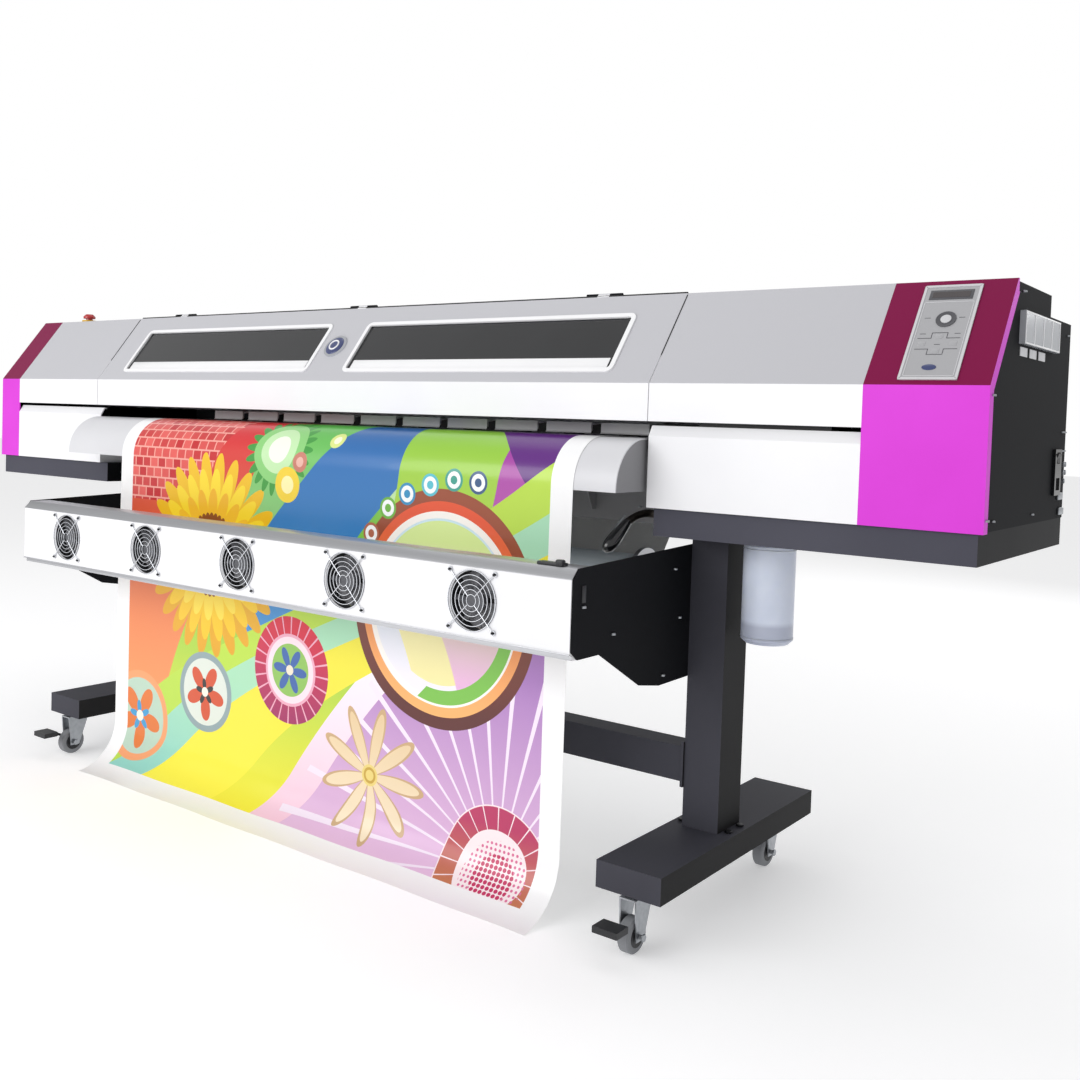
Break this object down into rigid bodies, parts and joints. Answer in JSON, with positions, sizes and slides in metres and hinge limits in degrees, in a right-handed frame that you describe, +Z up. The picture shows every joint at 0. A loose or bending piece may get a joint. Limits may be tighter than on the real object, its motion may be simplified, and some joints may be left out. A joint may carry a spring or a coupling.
{
  "type": "printer cutter",
  "caption": "Roll-fed wide-format inkjet printer with a cutter on its carriage, hinged front lid, hanging media web and fan dryer bar, on a castered stand.",
  "frame": {"origin": "on the floor, under the centre of the overall box", "axes": "+X to the operator's right along the machine, -Y towards the operator, +Z up"},
  "size_m": [3, 0.892, 1.249],
  "materials": {
    "white_panel": "white powder coat, low gloss",
    "grey_panel": "light silver-grey paint, satin",
    "magenta_panel": "magenta paint, satin",
    "dark_tray": "dark slate grey powder coat",
    "black_panel": "black powder coat, fine texture",
    "stand_grey": "charcoal grey powder coat",
    "apron_grey": "mid grey paint",
    "aluminium": "brushed, anodised",
    "steel": "bright zinc plate",
    "dark_glass": "smoked acrylic",
    "black_plastic": "black moulded plastic",
    "grey_rubber": "grey rubber tread",
    "pinch_rubber": "black roller rubber",
    "red_plastic": "red mushroom head",
    "clear_plastic": "clear moulded box",
    "bottle_plastic": "milky translucent polyethylene",
    "membrane": "silver membrane overlay",
    "media": "printed vinyl web, semi-gloss",
    "roll_media": "blank vinyl roll"
  },
  "bodies": {
    "machine": {"left_foot": "stand_grey", "right_foot": "stand_grey", "left_column": "stand_grey", "right_column": "stand_grey", "crossbeam": "stand_grey", "caster_plates": "steel", "main_bed": "aluminium", "platens": "aluminium", "front_guide": "white_panel", "lower_apron": "apron_grey", "rail_beam": "aluminium", "carriage_drive": "steel", "left_end_band": "magenta_panel", "right_end_band": "magenta_panel", "left_top_cover": "grey_panel", "right_top_cover": "grey_panel", "left_lower_panel": "white_panel", "right_lower_panel": "white_panel", "left_side_panel": "black_panel", "right_side_panel": "black_panel", "rear_cover": "black_panel", "left_pan": "dark_tray", "right_pan": "dark_tray", "media_web": "media", "dryer_bar": "white_panel", "fan_frames": "black_plastic", "dryer_brackets": "black_panel", "control_panel": "membrane", "side_fittings": "clear_plastic"},
    "lid": {"front_lid": "grey_panel", "lid_windows": "dark_glass"},
    "feed_roller": {"feed_roller": "aluminium"},
    "pinch_arms": {"pinch_arms": "white_panel"},
    "pinch_rollers": {"pinch_rollers": "pinch_rubber"},
    "pinch_lever": {"pinch_lever": "black_plastic"},
    "carriage": {"carriage": "black_plastic"},
    "cutter": {"cutter": "steel"},
    "cap_station": {"cap_station": "black_plastic"},
    "drive_pulley": {"drive_pulley": "aluminium"},
    "idler_pulley": {"idler_pulley": "aluminium"},
    "supply_roll": {"supply_shaft": "aluminium", "media_roll": "roll_media"},
    "estop_head": {"estop_head": "red_plastic"},
    "waste_bottle": {"waste_bottle": "bottle_plastic"},
    "power_rocker": {"power_rocker": "black_plastic"},
    "fan_rotor_1": {"fan_rotor_1": "black_plastic"},
    "fan_rotor_2": {"fan_rotor_2": "black_plastic"},
    "fan_rotor_3": {"fan_rotor_3": "black_plastic"},
    "fan_rotor_4": {"fan_rotor_4": "black_plastic"},
    "fan_rotor_5": {"fan_rotor_5": "black_plastic"},
    "caster_fork_front_left": {"caster_fork_front_left": "steel"},
    "caster_wheel_front_left": {"caster_wheel_front_left": "grey_rubber"},
    "brake_pedal_front_left": {"brake_pedal_front_left": "black_plastic"},
    "caster_fork_front_right": {"caster_fork_front_right": "steel"},
    "caster_wheel_front_right": {"caster_wheel_front_right": "grey_rubber"},
    "brake_pedal_front_right": {"brake_pedal_front_right": "black_plastic"},
    "caster_fork_rear_left": {"caster_fork_rear_left": "steel"},
    "caster_wheel_rear_left": {"caster_wheel_rear_left": "grey_rubber"},
    "caster_fork_rear_right": {"caster_fork_rear_right": "steel"},
    "caster_wheel_rear_right": {"caster_wheel_rear_right": "grey_rubber"}
  },
  "joints": [
    {"name": "lid_hinge", "type": "hinge", "parent": "machine", "child": "lid", "pos_m": [0, 0.0025, 1.228], "axis": [-1, 0, 0], "range_deg": [0, 80]},
    {"name": "feed_spin", "type": "hinge", "parent": "machine", "child": "feed_roller", "pos_m": [0, -0.001, 0.919], "axis": [1, 0, 0], "continuous": true},
    {"name": "pinch_lift", "type": "hinge", "parent": "machine", "child": "pinch_arms", "pos_m": [0, 0.116, 0.968], "axis": [-1, 0, 0], "range_deg": [0, 8]},
    {"name": "pinch_spin", "type": "hinge", "parent": "pinch_arms", "child": "pinch_rollers", "pos_m": [0, -0.001, 0.9416], "axis": [1, 0, 0], "continuous": true},
    {"name": "lever_turn", "type": "hinge", "parent": "machine", "child": "pinch_lever", "pos_m": [0.876, -0.086, 0.781], "axis": [1, 0, 0], "range_deg": [0, 40]},
    {"name": "carriage_slide", "type": "slide", "parent": "machine", "child": "carriage", "axis": [-1, 0, 0], "range_m": [0, 2.2]},
    {"name": "cutter_press", "type": "slide", "parent": "carriage", "child": "cutter", "axis": [0, 0, -1], "range_m": [0, 0.006], "stiffness_N_per_m": 500, "springref_m": -0.006},
    {"name": "cap_drop", "type": "slide", "parent": "machine", "child": "cap_station", "axis": [0, 0, -1], "range_m": [0, 0.025]},
    {"name": "drive_pulley_spin", "type": "hinge", "parent": "machine", "child": "drive_pulley", "pos_m": [1.35, 0.084, 1.153], "axis": [0, 1, 0], "continuous": true},
    {"name": "idler_pulley_spin", "type": "hinge", "parent": "machine", "child": "idler_pulley", "pos_m": [-1.35, 0.084, 1.153], "axis": [0, 1, 0], "continuous": true},
    {"name": "supply_spin", "type": "hinge", "parent": "machine", "child": "supply_roll", "pos_m": [0, 0.019, 0.642], "axis": [1, 0, 0], "continuous": true},
    {"name": "fan_spin_1", "type": "hinge", "parent": "machine", "child": "fan_rotor_1", "pos_m": [-0.623, -0.43, 0.628], "axis": [0, 1, 0], "continuous": true},
    {"name": "fan_spin_2", "type": "hinge", "parent": "machine", "child": "fan_rotor_2", "pos_m": [-0.293, -0.43, 0.628], "axis": [0, 1, 0], "continuous": true},
    {"name": "fan_spin_3", "type": "hinge", "parent": "machine", "child": "fan_rotor_3", "pos_m": [0.037, -0.43, 0.628], "axis": [0, 1, 0], "continuous": true},
    {"name": "fan_spin_4", "type": "hinge", "parent": "machine", "child": "fan_rotor_4", "pos_m": [0.367, -0.43, 0.628], "axis": [0, 1, 0], "continuous": true},
    {"name": "fan_spin_5", "type": "hinge", "parent": "machine", "child": "fan_rotor_5", "pos_m": [0.697, -0.43, 0.628], "axis": [0, 1, 0], "continuous": true},
    {"name": "caster_swivel_front_left", "type": "hinge", "parent": "machine", "child": "caster_fork_front_left", "pos_m": [-0.8655, -0.258, 0.1], "axis": [0, 0, 1], "continuous": true},
    {"name": "caster_roll_front_left", "type": "hinge", "parent": "caster_fork_front_left", "child": "caster_wheel_front_left", "pos_m": [-0.8655, -0.278, 0.033], "axis": [1, 0, 0], "continuous": true},
    {"name": "brake_press_front_left", "type": "hinge", "parent": "caster_fork_front_left", "child": "brake_pedal_front_left", "pos_m": [-0.8655, -0.278, 0.033], "axis": [1, 0, 0], "range_deg": [0, 12]},
    {"name": "caster_swivel_front_right", "type": "hinge", "parent": "machine", "child": "caster_fork_front_right", "pos_m": [0.9555, -0.258, 0.1], "axis": [0, 0, 1], "continuous": true},
    {"name": "caster_roll_front_right", "type": "hinge", "parent": "caster_fork_front_right", "child": "caster_wheel_front_right", "pos_m": [0.9555, -0.278, 0.033], "axis": [1, 0, 0], "continuous": true},
    {"name": "brake_press_front_right", "type": "hinge", "parent": "caster_fork_front_right", "child": "brake_pedal_front_right", "pos_m": [0.9555, -0.278, 0.033], "axis": [1, 0, 0], "range_deg": [0, 12]},
    {"name": "caster_swivel_rear_left", "type": "hinge", "parent": "machine", "child": "caster_fork_rear_left", "pos_m": [-0.8655, 0.289, 0.1], "axis": [0, 0, 1], "continuous": true},
    {"name": "caster_roll_rear_left", "type": "hinge", "parent": "caster_fork_rear_left", "child": "caster_wheel_rear_left", "pos_m": [-0.8655, 0.269, 0.033], "axis": [1, 0, 0], "continuous": true},
    {"name": "caster_swivel_rear_right", "type": "hinge", "parent": "machine", "child": "caster_fork_rear_right", "pos_m": [0.9555, 0.289, 0.1], "axis": [0, 0, 1], "continuous": true},
    {"name": "caster_roll_rear_right", "type": "hinge", "parent": "caster_fork_rear_right", "child": "caster_wheel_rear_right", "pos_m": [0.9555, 0.269, 0.033], "axis": [1, 0, 0], "continuous": true},
    {"name": "estop_press", "type": "slide", "parent": "machine", "child": "estop_head", "axis": [0, 0, -1], "range_m": [0, 0.005]},
    {"name": "bottle_drop", "type": "slide", "parent": "machine", "child": "waste_bottle", "axis": [0, 0, -1], "range_m": [0, 0.15]},
    {"name": "rocker_tip", "type": "hinge", "parent": "machine", "child": "power_rocker", "pos_m": [1.4925, 0.369, 0.918], "axis": [0, 1, 0], "range_deg": [-16, 0]}
  ],
  "couplings": [
    {"joint": "pinch_lift", "follows": "lever_turn", "ratio": 0.2},
    {"joint": "pinch_spin", "follows": "feed_spin", "ratio": -1.3333},
    {"joint": "drive_pulley_spin", "follows": "carriage_slide", "rad_per_m": 76.628},
    {"joint": "idler_pulley_spin", "follows": "carriage_slide", "rad_per_m": 76.628}
  ]
}
